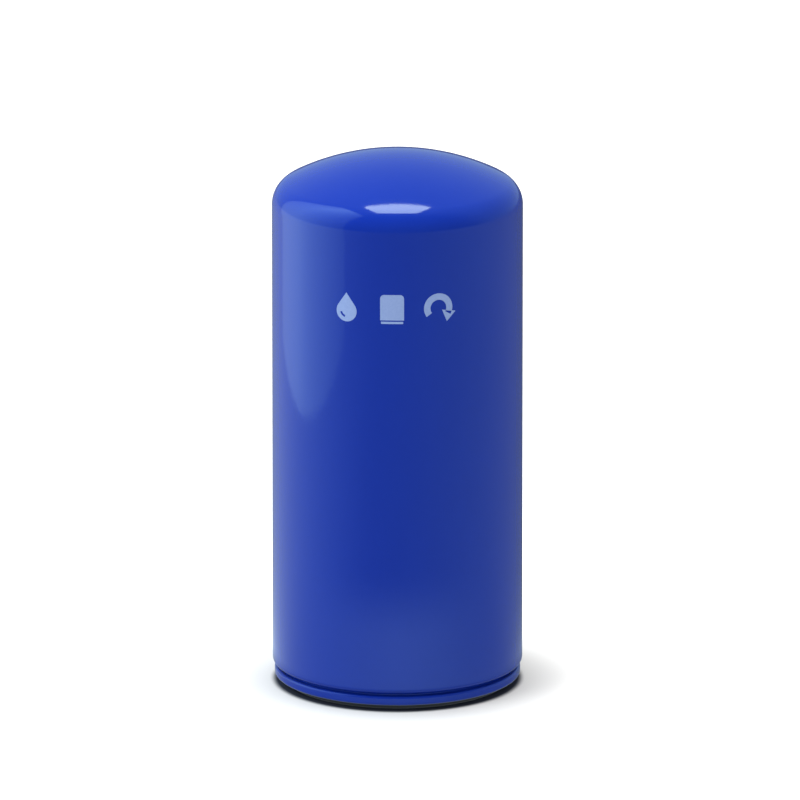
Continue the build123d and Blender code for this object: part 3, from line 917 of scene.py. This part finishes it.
plate = threaded_plate()
port = [
    (0.0, plate_bottom - 1.0),
    (inlet_radius + inlet_break + 1.0, plate_bottom - 1.0),
    (inlet_radius, plate_bottom + inlet_break),
    (inlet_radius, plate_top - inlet_break),
    (inlet_radius + inlet_break + 1.0, plate_top + 1.0),
    (0.0, plate_top + 1.0),
]
port_mesh = turned_cutter("inlet_port", port, inlet_circle, 48)
ports = grown_mesh("inlet_ports", port_mesh, ring_of_copies, Count=inlet_count, First_turn=0.0)
cut(plate, ports)
zinc = plain_finish(
    "zinc_plate",
    scale=160.0,
    tones=((0.46, 0.45, 0.40), (0.66, 0.65, 0.60)),
    rough=(0.28, 0.45),
    depth=0.02,
    Metallic=1.0,
)
paint(plate, zinc)
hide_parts("base_plate")
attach(plate, "housing")

# -------------------- drain-back valve
# A moulded rubber cone round the collar. Its lip lies on the base plate over the inlet holes and
# lifts to let oil in, while its thick neck stays where the end cap's lip holds it.
flap_low, flap_high = (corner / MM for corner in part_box("drainback_diaphragm"))
flap_bore = 22.45
flap_hub = 27.0
flap_hub_bottom = 16.05
lip_contact = 40.5
lip_edge = 42.8


def finely(outline, longest):
    """The same outline, with no straight run longer than the given length."""
    result = []
    for (x, z), (next_x, next_z) in zip(outline, outline[1:] + outline[:1]):
        parts = max(1, ceil(hypot(next_x - x, next_z - z) / longest))
        for k in range(parts):
            result.append((x + (next_x - x) * k / parts, z + (next_z - z) * k / parts))
    return result


flap_outline = [
    (flap_bore, flap_hub_bottom),
    (flap_hub, flap_hub_bottom),
    (lip_contact, flap_low.z),
    (lip_edge - 0.4, flap_low.z),
    (lip_edge, flap_low.z + 0.45),
    (lip_edge - 0.1, flap_low.z + 0.95),
    (flap_hub + 1.7, 17.9),
    (flap_hub - 0.5, flap_high.z),
    (flap_bore, flap_high.z),
]
flap = turned("drainback_flap", finely(flap_outline, 0.9), segments=160, sharp=50)
flap_rubber = plain_finish(
    "moulded_black_rubber",
    scale=700.0,
    tones=((0.014, 0.014, 0.015), (0.026, 0.026, 0.027)),
    rough=(0.42, 0.62),
    depth=0.02,
)
paint(flap, flap_rubber)
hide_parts("drainback_diaphragm")
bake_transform(flap)

# -------------------- element end caps
# Two stamped tinplate dishes close the ends of the pleats. The lower one's lip seals on the
# collar's rubber, and the upper one has a raised boss that carries the bypass valve.
cap_wall = 0.5
cap_rim = 50.75
cap_bend = 1.2
element_bottom, _ = (corner.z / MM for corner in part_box("lower_end_cap"))
lip_middle = 20.95
lip_top = 22.85
lip_bend = 0.6
rim_height = 7.0
lower_floor = element_bottom + cap_wall / 2
lower_cap = turned(
    "lower_tin_cap",
    bent_sheet(
        (lip_middle, lip_top),
        -90,
        cap_wall,
        (lip_top - lower_floor - lip_bend,),
        (lip_bend, 90),
        (cap_rim - cap_bend - lip_middle - lip_bend,),
        (cap_bend, 90),
        (rim_height - cap_wall / 2 - cap_bend,),
    ),
)
tin = plain_finish(
    "stamped_tinplate",
    scale=90.0,
    tones=((0.50, 0.50, 0.48), (0.66, 0.66, 0.64)),
    rough=(0.20, 0.34),
    depth=0.01,
    Metallic=1.0,
)
paint(lower_cap, tin)
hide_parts("lower_end_cap")
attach(lower_cap, "element")

boss_middle = 17.2
boss_bend = 0.8
bypass_hole = 11.0
boss_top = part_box("upper_end_cap")[1].z / MM
boss_rise = 3.0
element_top = boss_top - boss_rise
upper_cap = turned(
    "upper_tin_cap",
    bent_sheet(
        (bypass_hole, boss_top - cap_wall / 2),
        0,
        cap_wall,
        (boss_middle - boss_bend - bypass_hole,),
        (boss_bend, -90),
        (boss_rise - 2 * boss_bend,),
        (boss_bend, 90),
        (cap_rim - cap_bend - boss_middle - boss_bend,),
        (cap_bend, -90),
        (rim_height - cap_wall / 2 - cap_bend,),
    ),
)
paint(upper_cap, tin)
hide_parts("upper_end_cap")
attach(upper_cap, "element")

# -------------------- pleated paper
# One long strip of resin-treated cream paper, folded into sixty pleats and bent round into a
# ring. A single pleat is drawn and copied round the axis, and the copies are joined.
pleat_count = 60
pleat_outer = 50.0
pleat_inner = 23.3
paper = 0.8
outer_fold = 0.9
inner_fold = 0.62
paper_bottom, paper_top = (corner.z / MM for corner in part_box("pleated_media"))
fold_centre = pleat_outer - paper / 2 - outer_fold
inner_centre = pleat_inner + paper / 2 + inner_fold
half_pleat = pi / pleat_count
foot = (inner_centre * cos(half_pleat), inner_centre * sin(half_pleat))
across = (foot[0] - fold_centre, foot[1])
reach = hypot(*across)
lean = (outer_fold + inner_fold) / reach
side_step = sqrt(1 - lean**2)
leg_normal = (
    (across[0] * lean + across[1] * side_step) / reach,
    (across[1] * lean - across[0] * side_step) / reach,
)
leg_turn = degrees(acos(leg_normal[0]))


def pleat_side(outside):
    """Half of one pleat's outline, this far outside the middle of the paper, and its mirror."""
    tip = round_points((fold_centre, 0), outer_fold + outside, 0, leg_turn, 8)
    tip += round_points(
        foot, inner_fold - outside, leg_turn - 180, degrees(half_pleat) - 180, 6
    )
    return [(x, -y) for x, y in tip[:0:-1]] + tip


def one_pleat():
    """A single pleat of paper, open where its neighbours join it."""
    outer, inner = pleat_side(paper / 2), pleat_side(-paper / 2)
    count = len(outer)
    vertices = [(x, y, z) for z in (paper_bottom, paper_top) for x, y in outer + inner]
    faces = []
    for k in range(count - 1):
        out, ins = (k, k + 1), (count + k, count + k + 1)
        above = 2 * count
        faces.append((out[0], out[1], out[1] + above, out[0] + above))
        faces.append((ins[1], ins[0], ins[0] + above, ins[1] + above))
        faces.append((out[1], out[0], ins[0], ins[1]))
        faces.append((out[0] + above, out[1] + above, ins[1] + above, ins[0] + above))
    mesh = bpy.data.meshes.new("one_pleat")
    mesh.from_pydata([Vector(v) * MM for v in vertices], [], faces)
    return mesh


filter_paper = plain_finish(
    "filter_paper",
    scale=1100.0,
    tones=((0.66, 0.52, 0.30), (0.80, 0.68, 0.44)),
    rough=(0.75, 0.90),
    depth=0.06,
    stretch=(1.0, 1.0, 0.3),
)
pleats = grown_mesh(
    "pleated_paper",
    one_pleat(),
    ring_of_copies,
    Count=pleat_count,
    First_turn=0.0,
    Material=filter_paper,
)
tidy_mesh(pleats, 50)
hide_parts("pleated_media")
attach(pleats, "element")

# -------------------- potting
# Red-brown plastisol is poured into each cap and cured round the ends of the pleats.
potting_outer = 50.5
potting_inner = 22.4
potting_edge = 0.95
potting_depth = 3.5
plastisol = plain_finish(
    "cured_plastisol",
    scale=260.0,
    tones=((0.20, 0.045, 0.022), (0.28, 0.070, 0.034)),
    rough=(0.38, 0.60),
    depth=0.08,
)


def potting_ring(name, closed_end, open_end):
    """A ring of potting with its outer corner rounded where it fills the cap's bend."""
    way = 1 if open_end > closed_end else -1
    corner_middle = (potting_outer - potting_edge, closed_end + way * potting_edge)
    ring = [(potting_inner, closed_end)]
    ring += round_points(corner_middle, potting_edge, -90 * way, 0, 6)
    ring += [(potting_outer, open_end), (potting_inner, open_end)]
    piece = turned(name, ring, segments=128)
    paint(piece, plastisol)
    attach(piece, "element")
    return piece


cup_bottom = element_bottom + cap_wall
cup_top = element_top - cap_wall
lower_ring = potting_ring("lower_plastisol", cup_bottom, cup_bottom + potting_depth)
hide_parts("lower_potting")
upper_ring = potting_ring("upper_plastisol", cup_top, cup_top - potting_depth)
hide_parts("upper_potting")

# -------------------- seam clip
# The two ends of the paper strip meet in one pleat, where a folded tin channel pinches them.
clip_wall = 0.4
clip_leg = 5.0
clip_low, clip_high = (corner.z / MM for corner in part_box("media_seam_clip"))
clip_fold = outer_fold + paper / 2 + clip_wall / 2
clip_start = (
    fold_centre + leg_normal[0] * clip_fold - leg_normal[1] * clip_leg,
    leg_normal[1] * clip_fold + leg_normal[0] * clip_leg,
)


def extruded(name, outline, bottom, top):
    """A bent strip's outline raised into a closed solid, with its ends capped in quads."""
    count = len(outline)
    vertices = [(x, y, z) for z in (bottom, top) for x, y in outline]
    faces = []
    for k in range(count):
        nxt = (k + 1) % count
        faces.append((k, nxt, nxt + count, k + count))
    for k in range(count // 2 - 1):
        other = count - 1 - k
        faces.append((k, other, other - 1, k + 1))
        faces.append((k + count, k + 1 + count, other - 1 + count, other + count))
    return new_piece(name, vertices, faces)


clip = extruded(
    "folded_seam_clip",
    bent_sheet(
        clip_start,
        leg_turn - 90,
        clip_wall,
        (clip_leg,),
        (clip_fold, -2 * leg_turn),
        (clip_leg,),
    ),
    clip_low,
    clip_high,
)
paint(clip, tin)
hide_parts("media_seam_clip")
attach(clip, "element")

# -------------------- spacer bead
# A bead of cream hot-melt adhesive is wound round the pleats to keep their tips evenly spaced.
bead_radius = 0.6
bead_path = 51.0
bead_low = 29.45
bead_high = 214.5
bead_turns = 6


def wire_tree():
    """Sweeps a round wire along the starting path and grinds its two ends flat."""
    tree, add, join, given, result = new_tree(
        "wire_along_path",
        ("Wire radius", "NodeSocketFloat"),
        ("Bottom", "NodeSocketFloat"),
        ("Top", "NodeSocketFloat"),
        ("Material", "NodeSocketMaterial"),
    )
    path = add("GeometryNodeMeshToCurve")
    join(given.outputs["Geometry"], path.inputs["Mesh"])
    ring = add("GeometryNodeCurvePrimitiveCircle", mode="RADIUS", Resolution=20)
    join(given.outputs["Wire radius"], ring.inputs["Radius"])
    sweep = add("GeometryNodeCurveToMesh")
    sweep.inputs["Fill Caps"].default_value = True
    join(path.outputs[0], sweep.inputs["Curve"])
    join(ring.outputs[0], sweep.inputs["Profile Curve"])
    place = add("GeometryNodeInputPosition")
    parts = add("ShaderNodeSeparateXYZ")
    join(place.outputs[0], parts.inputs[0])
    ground = add("ShaderNodeClamp")
    join(parts.outputs["Z"], ground.inputs["Value"])
    join(given.outputs["Bottom"], ground.inputs["Min"])
    join(given.outputs["Top"], ground.inputs["Max"])
    level = add("ShaderNodeCombineXYZ")
    join(parts.outputs["X"], level.inputs["X"])
    join(parts.outputs["Y"], level.inputs["Y"])
    join(ground.outputs[0], level.inputs["Z"])
    grind = add("GeometryNodeSetPosition")
    join(sweep.outputs[0], grind.inputs["Geometry"])
    join(level.outputs[0], grind.inputs["Position"])
    end_tree(add, join, given, result, grind.outputs[0])
    return tree


wire_along_path = wire_tree()


def coil_path(name, radius, heights, turns):
    """A polyline round the axis, with its heights given as a function of the share of its length."""
    steps_per_turn = 64
    steps = int(turns * steps_per_turn)
    points = []
    for k in range(steps + 1):
        turn = 2 * pi * turns * k / steps
        height = heights(k / steps)
        points.append(Vector((radius * cos(turn), radius * sin(turn), height)) * MM)
    path = bpy.data.meshes.new(name)
    path.from_pydata(points, [(k, k + 1) for k in range(steps)], [])
    return path


hot_melt = plain_finish(
    "cream_hot_melt",
    scale=500.0,
    tones=((0.72, 0.62, 0.42), (0.80, 0.72, 0.52)),
    rough=(0.30, 0.45),
    depth=0.04,
)
bead = grown_mesh(
    "hot_melt_bead",
    coil_path(
        "bead_path",
        bead_path,
        lambda share: bead_low + (bead_high - bead_low) * share,
        bead_turns,
    ),
    wire_along_path,
    Wire_radius=bead_radius * MM,
    Bottom=0.0,
    Top=1.0,
    Material=hot_melt,
)
tidy_mesh(bead, 40)
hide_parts("spacer_bead")
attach(bead, "element")

# -------------------- centre tube
# A galvanised strip, punched with rows of holes and rolled into a tube, holds the pleats up
# against the pressure. One cell round one hole is drawn, and copied over the whole tube.
tube_outer = 22.4
tube_inner = 21.8
tube_columns = 12
tube_rows = 19
hole_radius = 2.6
hole_pitch = 9.5025
tube_middle = 121.975
tube_bottom, tube_top = (corner.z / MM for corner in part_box("centre_tube"))


def wrapped(arc, height, radius):
    """A point of the flat strip, bent round the axis at a radius. The arc is in radians."""
    return (radius * cos(arc), radius * sin(arc), height)


def cell_mesh():
    """One cell of the strip: a punched hole in both skins, with the wall of the hole."""
    half_arc = pi / tube_columns
    border = [(1, k / 4) for k in range(3)]
    border += [(1 - k / 4, 0.5) for k in range(1, 9)]
    border += [(-1, 0.5 - k / 4) for k in range(1, 5)]
    border += [(k / 4 - 1, -0.5) for k in range(1, 9)]
    border += [(1, -0.25)]
    count = len(border)
    vertices, faces = [], []
    for radius in (tube_outer, tube_inner):
        for share, rise in border:
            vertices.append(wrapped(share * half_arc, rise * hole_pitch, radius))
        for k in range(count):
            turn = 2 * pi * k / count
            arc = asin(hole_radius * cos(turn) / tube_outer)
            vertices.append(wrapped(arc, hole_radius * sin(turn), radius))
    for k in range(count):
        nxt = (k + 1) % count
        outer_hole, inner_edge = count, 2 * count
        inner_hole = 3 * count
        faces.append((k, nxt, nxt + outer_hole, k + outer_hole))
        faces.append((nxt + inner_edge, k + inner_edge, k + inner_hole, nxt + inner_hole))
        faces.append((nxt + outer_hole, nxt + inner_hole, k + inner_hole, k + outer_hole))
    mesh = bpy.data.meshes.new("tube_cell")
    mesh.from_pydata([Vector(v) * MM for v in vertices], [], faces)
    return mesh


def cell_grid_tree():
    """Copies a cell over columns round the axis and rows up it, with every other column shifted."""
    tree, add, join, given, result = new_tree(
        "cells_over_tube",
        ("Columns", "NodeSocketInt"),
        ("Rows", "NodeSocketInt"),
        ("Pitch", "NodeSocketFloat"),
        ("Middle", "NodeSocketFloat"),
        ("Material", "NodeSocketMaterial"),
    )
    maths = sums(add, join)
    columns, rows = given.outputs["Columns"], given.outputs["Rows"]
    points = add("GeometryNodePoints")
    join(maths("MULTIPLY", columns, rows), points.inputs["Count"])
    number = add("GeometryNodeInputIndex").outputs[0]
    column = maths("FLOOR", maths("DIVIDE", maths("ADD", number, 0.5), rows))
    row = maths("SUBTRACT", number, maths("MULTIPLY", column, rows))
    turn = maths("MULTIPLY", column, maths("DIVIDE", 2 * pi, columns))
    odd = maths("MODULO", column, 2.0)
    shift = maths("MULTIPLY", maths("SUBTRACT", odd, 0.5), 0.5)
    middle_row = maths("MULTIPLY", maths("SUBTRACT", rows, 1.0), 0.5)
    rise = maths("ADD", maths("SUBTRACT", row, middle_row), shift)
    height = maths("ADD", maths("MULTIPLY", rise, given.outputs["Pitch"]), given.outputs["Middle"])
    place = add("ShaderNodeCombineXYZ")
    join(height, place.inputs["Z"])
    put = add("GeometryNodeSetPosition")
    join(points.outputs[0], put.inputs["Geometry"])
    join(place.outputs[0], put.inputs["Position"])
    end_tree(add, join, given, result, turned_copies(add, join, given, put.outputs[0], turn))
    return tree


galvanised = plain_finish(
    "galvanised_strip",
    scale=210.0,
    tones=((0.42, 0.43, 0.44), (0.62, 0.63, 0.64)),
    rough=(0.30, 0.50),
    depth=0.01,
    Metallic=1.0,
)
tube = grown_mesh(
    "perforated_tube",
    cell_mesh(),
    cell_grid_tree(),
    Columns=tube_columns,
    Rows=tube_rows,
    Pitch=hole_pitch * MM,
    Middle=tube_middle * MM,
    Material=galvanised,
)


def plain_ends(shell):
    """Adds the unpunched bands at both ends of the tube, stepped to meet the shifted columns."""
    reach = tube_rows * hole_pitch / 2
    for side, end in ((-1, tube_bottom), (1, tube_top)):
        for column in range(tube_columns):
            odd = column % 2
            inward = odd == (side < 0)
            far = tube_middle + side * (reach + hole_pitch / 4)
            levels = [end, far]
            if inward:
                levels += [far - side * k * hole_pitch / 4 for k in (1, 2)]
            arcs = [(column + k / 8 - 0.5) * 2 * pi / tube_columns for k in range(9)]
            for left, right in zip(arcs, arcs[1:]):
                for radius in (tube_outer, tube_inner):
                    for low, high in zip(levels, levels[1:]):
                        corners = ((left, low), (right, low), (right, high), (left, high))
                        shell.faces.new(
                            shell.verts.new(Vector(wrapped(a, z, radius)) * MM)
                            for a, z in corners
                        )
                rim = ((left, tube_outer), (right, tube_outer), (right, tube_inner))
                rim += ((left, tube_inner),)
                shell.faces.new(
                    shell.verts.new(Vector(wrapped(a, end, radius)) * MM) for a, radius in rim
                )


shell = bmesh.new()
shell.from_mesh(tube.data)
plain_ends(shell)
shell.to_mesh(tube.data)
shell.free()
tidy_mesh(tube, 30)
paint(tube, galvanised)
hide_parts("centre_tube")
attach(tube, "element")

# -------------------- bypass seat
# A turned steel ring is riveted through the upper cap, and its lower lip is the valve's seat.
seat_neck = 10.9
seat_bore = 9.6
seat_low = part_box("bypass_seat")[0].z / MM
flare_top = boss_top - cap_wall - 0.65
seat = turned(
    "turned_seat",
    [
        (seat_bore, boss_top + 0.2),
        (seat_bore + 0.5, boss_top + 0.7),
        (13.5, boss_top + 0.7),
        (13.5, boss_top),
        (seat_neck, boss_top),
        (seat_neck, flare_top),
        (seat_neck + 1.2, flare_top),
        (seat_neck + 1.0, flare_top - 0.6),
        (seat_neck - 0.2, flare_top - 0.9),
        (seat_neck - 0.4, seat_low),
        (seat_bore + 0.4, seat_low),
        (seat_bore, seat_low + 0.6),
    ],
    segments=96,
    sharp=25,
)
turned_steel = plain_finish(
    "turned_steel",
    scale=1.0,
    tones=((0.42, 0.42, 0.41), (0.58, 0.58, 0.57)),
    rough=(0.22, 0.36),
    depth=0.004,
    stretch=(40.0, 40.0, 5000.0),
    Metallic=1.0,
)
paint(seat, turned_steel)
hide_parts("bypass_seat")
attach(seat, "element")

# -------------------- bypass cage
# A stamped tin cup hangs under the seat. Oil leaves through its four windows, and its floor
# guides the stem and carries the spring.
cage_wall = 0.6
cage_side = 15.3
cage_bend = 1.2
cage_flange = 16.2
cage_low, cage_high = (corner.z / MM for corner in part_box("bypass_cage"))
stem_hole = 2.7
window_count = 4
window_width = 11.0
window_height = 12.0
window_corner = 2.0
window_middle = cage_low + 10.5
flange_bottom = cage_high - cage_wall
cage_outline = bent_sheet(
    (cage_side, flange_bottom),
    -90,
    cage_wall,
    (flange_bottom - cage_low - cage_wall / 2 - cage_bend,),
    (cage_bend, -90),
    (cage_side - cage_bend - stem_hole,),
)
cage_outline.reverse()
cage_outline += [(cage_flange, flange_bottom), (cage_flange, cage_high)]
cage_outline += [(bypass_hole, cage_high), (bypass_hole, flange_bottom)]
cage = turned("stamped_cage", cage_outline, segments=128)
corner_middle = (window_width / 2 - window_corner, window_height / 2 - window_corner)
window = round_points(corner_middle, window_corner, 0, 90, 6)
window += [(-x, y) for x, y in reversed(window)]
window += [(x, -y) for x, y in reversed(window)]
punch_vertices = [(x, a, b) for x in (cage_side - 3, cage_side + 3) for a, b in window]
count = len(window)
punch_faces = [(k, (k + 1) % count, (k + 1) % count + count, k + count) for k in range(count)]
punch_faces += [tuple(range(count)), tuple(range(2 * count - 1, count - 1, -1))]
punch = new_piece(
    "window_punch", [(x, a, b + window_middle) for x, a, b in punch_vertices], punch_faces
)
punch_mesh = punch.data
bpy.data.objects.remove(punch)
punches = grown_mesh(
    "window_punches",
    punch_mesh,
    ring_of_copies,
    Count=window_count,
    First_turn=pi / window_count,
)
cut(cage, punches)
paint(cage, tin)
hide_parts("bypass_cage")
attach(cage, "element")

# -------------------- bypass poppet
# The disc of the valve that drops off its seat when the paper is clogged. It is stamped from
# steel, with a rim that stiffens it and a boss that centres the spring.
disc_low, disc_top = (corner.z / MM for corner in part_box("bypass_poppet"))
disc_radius = 12.6
disc_bottom = disc_top - 1.2
rim_wall = 0.8
spring_boss = 5.2
stem_radius = 2.4
poppet = turned(
    "stamped_poppet",
    [
        (stem_radius, disc_top),
        (disc_radius - 0.15, disc_top),
        (disc_radius, disc_top - 0.15),
        (disc_radius, disc_low + 0.1),
        (disc_radius - 0.1, disc_low),
        (disc_radius - rim_wall, disc_low),
        (disc_radius - rim_wall, disc_bottom),
        (spring_boss, disc_bottom),
        (spring_boss - 0.4, disc_bottom - 1.4),
        (stem_radius, disc_bottom - 1.4),
    ],
    segments=96,
)
paint(poppet, turned_steel)
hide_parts("bypass_poppet")
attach(poppet, "bypass_valve")

# -------------------- bypass washer
# A flat rubber washer lies on the disc and seals on the seat. The stem's head holds it down.
washer_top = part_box("bypass_washer")[1].z / MM
washer = turned(
    "seat_washer",
    [
        (stem_radius, disc_top),
        (disc_radius - 0.4, disc_top),
        (disc_radius - 0.4, washer_top - 0.3),
        (disc_radius - 0.7, washer_top),
        (stem_radius, washer_top),
    ],
    segments=96,
)
paint(washer, nitrile)
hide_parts("bypass_washer")
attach(washer, "bypass_valve")

# -------------------- bypass stem
# A turned steel rivet joins disc and washer. Its tail slides in the cage's floor, and its head
# is riveted over on top of the rubber.
stem_low, stem_high = (corner.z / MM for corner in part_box("bypass_stem"))
rivet_radius = 4.6
rivet_dome = round_points((rivet_radius - 1.3, washer_top), 1.3, 0, 90, 6)
stem = turned(
    "riveted_stem",
    [(0, stem_low), (stem_radius - 0.5, stem_low), (stem_radius, stem_low + 0.8)]
    + [(stem_radius, washer_top)]
    + rivet_dome
    + [(0, stem_high)],
    segments=64,
)
paint(stem, turned_steel)
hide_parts("bypass_stem")
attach(stem, "bypass_valve")

# -------------------- springs
# Two coils of drawn spring wire with closed, ground ends. The small one holds the bypass shut,
# and the strong one under the dome presses the element down on the drain-back valve.
def spring_heights(bottom, top, wire, turns):
    """Heights along a spring whose end coils lie flat and whose other coils share the rest."""
    above_ground_end = 0.3 * wire
    closed_turns = 0.9
    start = bottom + above_ground_end
    climb = top - bottom - 2 * above_ground_end
    end_share = closed_turns / turns
    closed_climb = 2 * wire * turns

    def height(share):
        middle = min(max(share - end_share, 0.0), 1 - 2 * end_share)
        closed = (share - middle) * closed_climb
        opened = middle / (1 - 2 * end_share)
        return start + closed + opened * (climb - 2 * end_share * closed_climb)

    return height


def spring(name, node, radius, wire, turns):
    """A spring that stands as tall as its CAD node."""
    bottom, top = (corner.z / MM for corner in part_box(node))
    piece = grown_mesh(
        name,
        coil_path(name, radius, spring_heights(bottom, top, wire, turns), turns),
        wire_along_path,
        Wire_radius=wire * MM,
        Bottom=bottom * MM,
        Top=top * MM,
        Material=spring_wire,
    )
    tidy_mesh(piece, 40)
    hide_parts(node)
    return piece


spring_wire = plain_finish(
    "drawn_spring_wire",
    scale=420.0,
    tones=((0.22, 0.21, 0.20), (0.34, 0.33, 0.31)),
    rough=(0.25, 0.40),
    depth=0.01,
    Metallic=1.0,
)
valve_spring = spring("bypass_coil", "bypass_spring", 7.2, 0.7, 5.5)
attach(valve_spring, "element")
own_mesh(valve_spring)
hold_spring = spring("element_coil", "element_spring", 20.3, 1.3, 5)
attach(hold_spring, "housing")
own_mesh(hold_spring)
